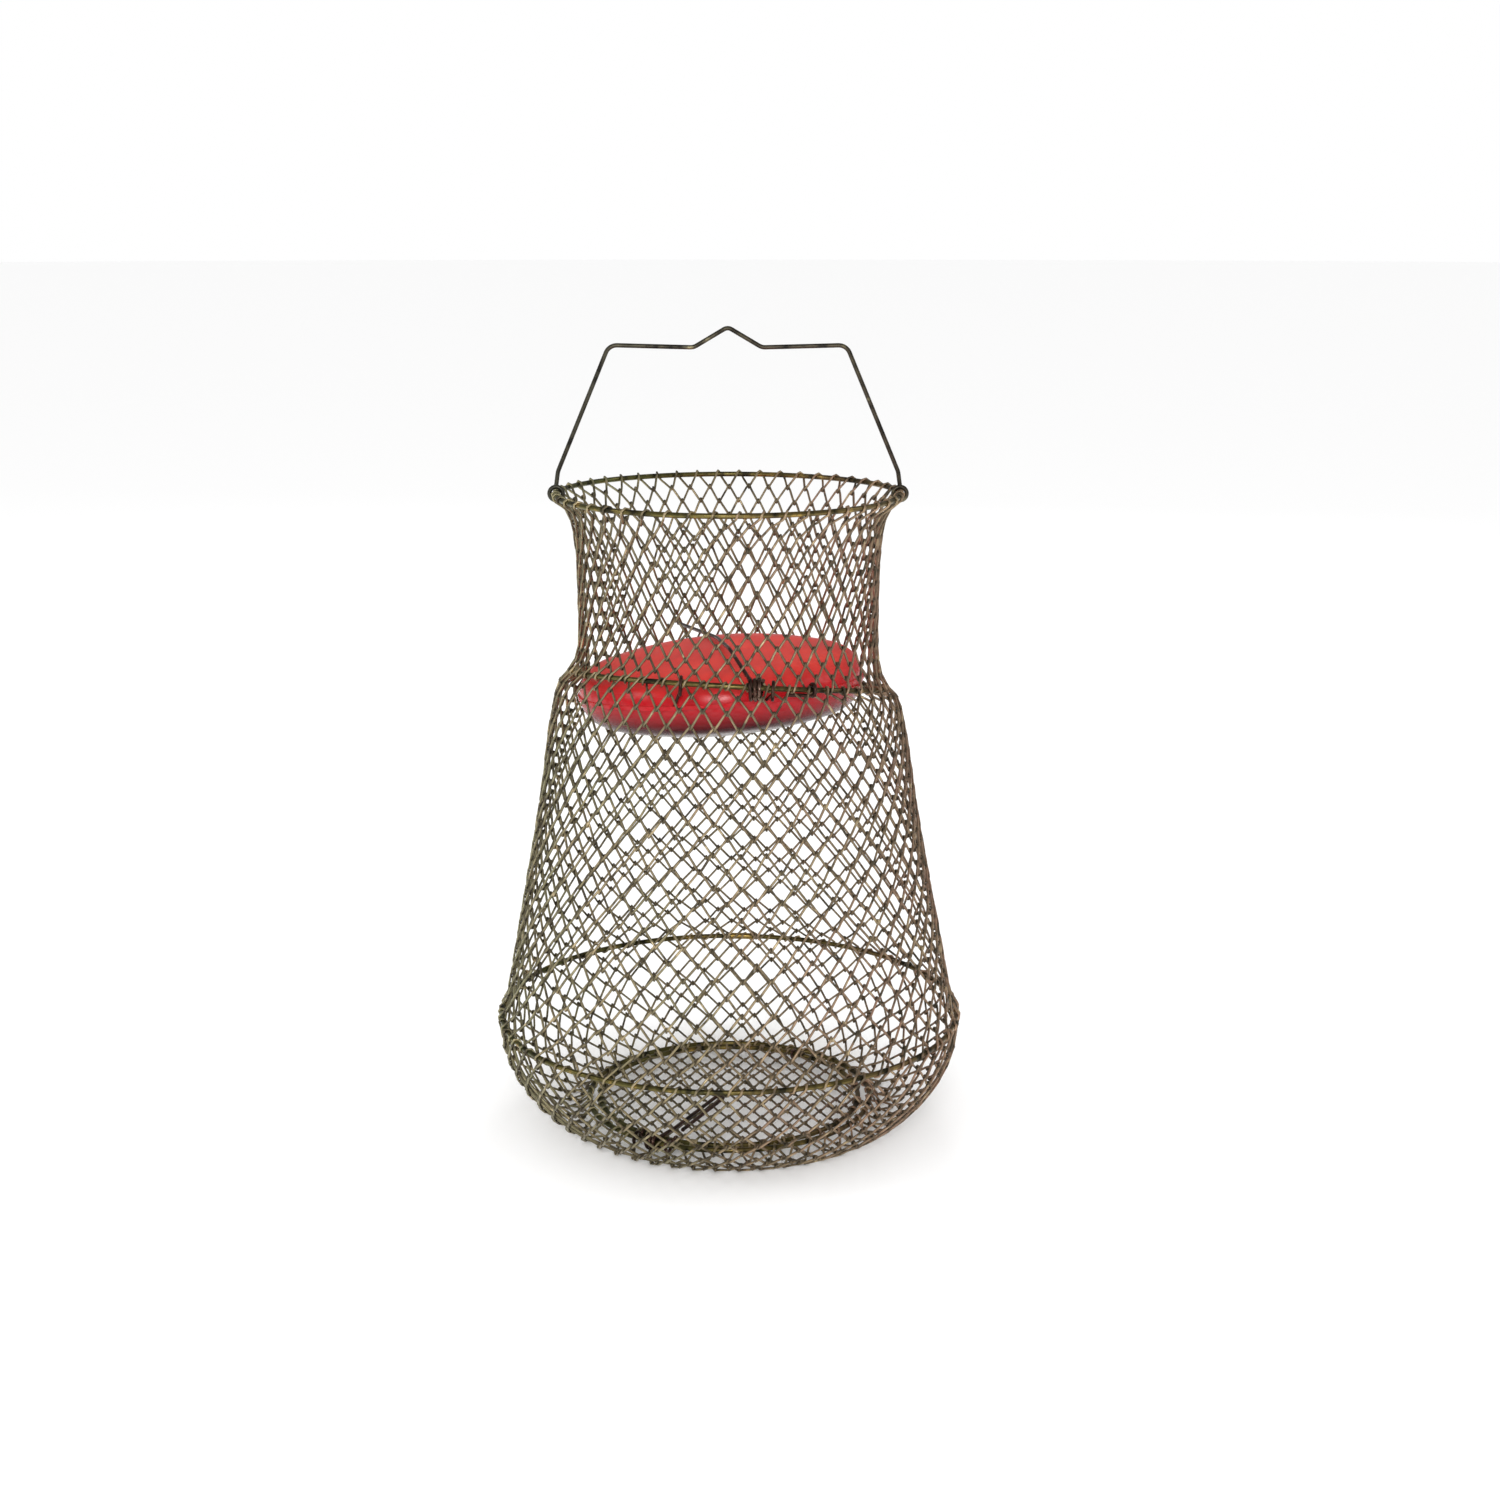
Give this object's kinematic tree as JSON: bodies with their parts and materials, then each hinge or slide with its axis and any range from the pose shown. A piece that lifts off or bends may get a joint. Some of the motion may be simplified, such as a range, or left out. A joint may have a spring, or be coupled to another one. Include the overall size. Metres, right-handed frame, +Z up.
{
  "type": "collapsible fish basket",
  "caption": "Collapsible floating fish basket of wire hoops and diamond wire netting, with a red float as sprung throat lid, sprung bottom door and wire bail.",
  "frame": {"origin": "on the floor under the middle of the basket", "axes": "+Z up through the mouth, +X to the right, -Y to the front where the lid is hinged"},
  "size_m": [0.3296, 0.3302, 0.5597],
  "materials": {
    "hoop_wire": "satin",
    "bail_wire": "satin",
    "netting_wire": "satin",
    "float_plastic": "gloss",
    "spring_wire": "satin",
    "sleeve": "satin"
  },
  "bodies": {
    "base": {"base_hoop": "hoop_wire", "bottom_netting": "netting_wire"},
    "belly": {"belly_hoop": "hoop_wire", "belly_sleeve": "sleeve", "body_netting": "netting_wire"},
    "throat": {"throat_hoop": "hoop_wire", "neck_netting": "netting_wire", "lid_spring_leg": "spring_wire"},
    "mouth": {"mouth_hoop": "hoop_wire"},
    "bail": {"bail_handle": "bail_wire"},
    "lid": {"float_upper_shell": "float_plastic", "float_lower_shell": "float_plastic", "lid_spring": "spring_wire", "lid_hinge_loop_left": "spring_wire", "lid_hinge_loop_right": "spring_wire", "lid_stop": "spring_wire"},
    "door": {"door_hoop": "hoop_wire", "door_netting": "netting_wire", "door_hinge_loop_left": "spring_wire", "door_hinge_loop_right": "spring_wire", "door_spring": "spring_wire", "door_stop": "spring_wire"}
  },
  "joints": [
    {"name": "belly_fold", "type": "slide", "parent": "base", "child": "belly", "axis": [0, 0, 1], "range_m": [-0.046, 0], "deforming": ["bottom_netting"]},
    {"name": "throat_fold", "type": "slide", "parent": "belly", "child": "throat", "axis": [0, 0, 1], "range_m": [-0.209, 0], "deforming": ["body_netting"]},
    {"name": "mouth_fold", "type": "slide", "parent": "throat", "child": "mouth", "axis": [0, 0, 1], "range_m": [-0.088, 0], "deforming": ["neck_netting"]},
    {"name": "bail_swing", "type": "hinge", "parent": "mouth", "child": "bail", "pos_m": [0, 0, 0.447], "axis": [1, 0, 0], "range_deg": [-38, 38]},
    {"name": "lid_hinge", "type": "hinge", "parent": "throat", "child": "lid", "pos_m": [-0.00008, -0.10627, 0.33326], "axis": [-0.9984, 0.0092, 0.0551], "range_deg": [0, 28], "stiffness_Nm_per_rad": 0.25, "springref_deg": -68.75},
    {"name": "door_hinge", "type": "hinge", "parent": "base", "child": "door", "pos_m": [-0.05233, -0.08709, 0.009], "axis": [-0.8572, 0.515, 0], "range_deg": [0, 90], "stiffness_Nm_per_rad": 0.15, "springref_deg": -68.75}
  ]
}
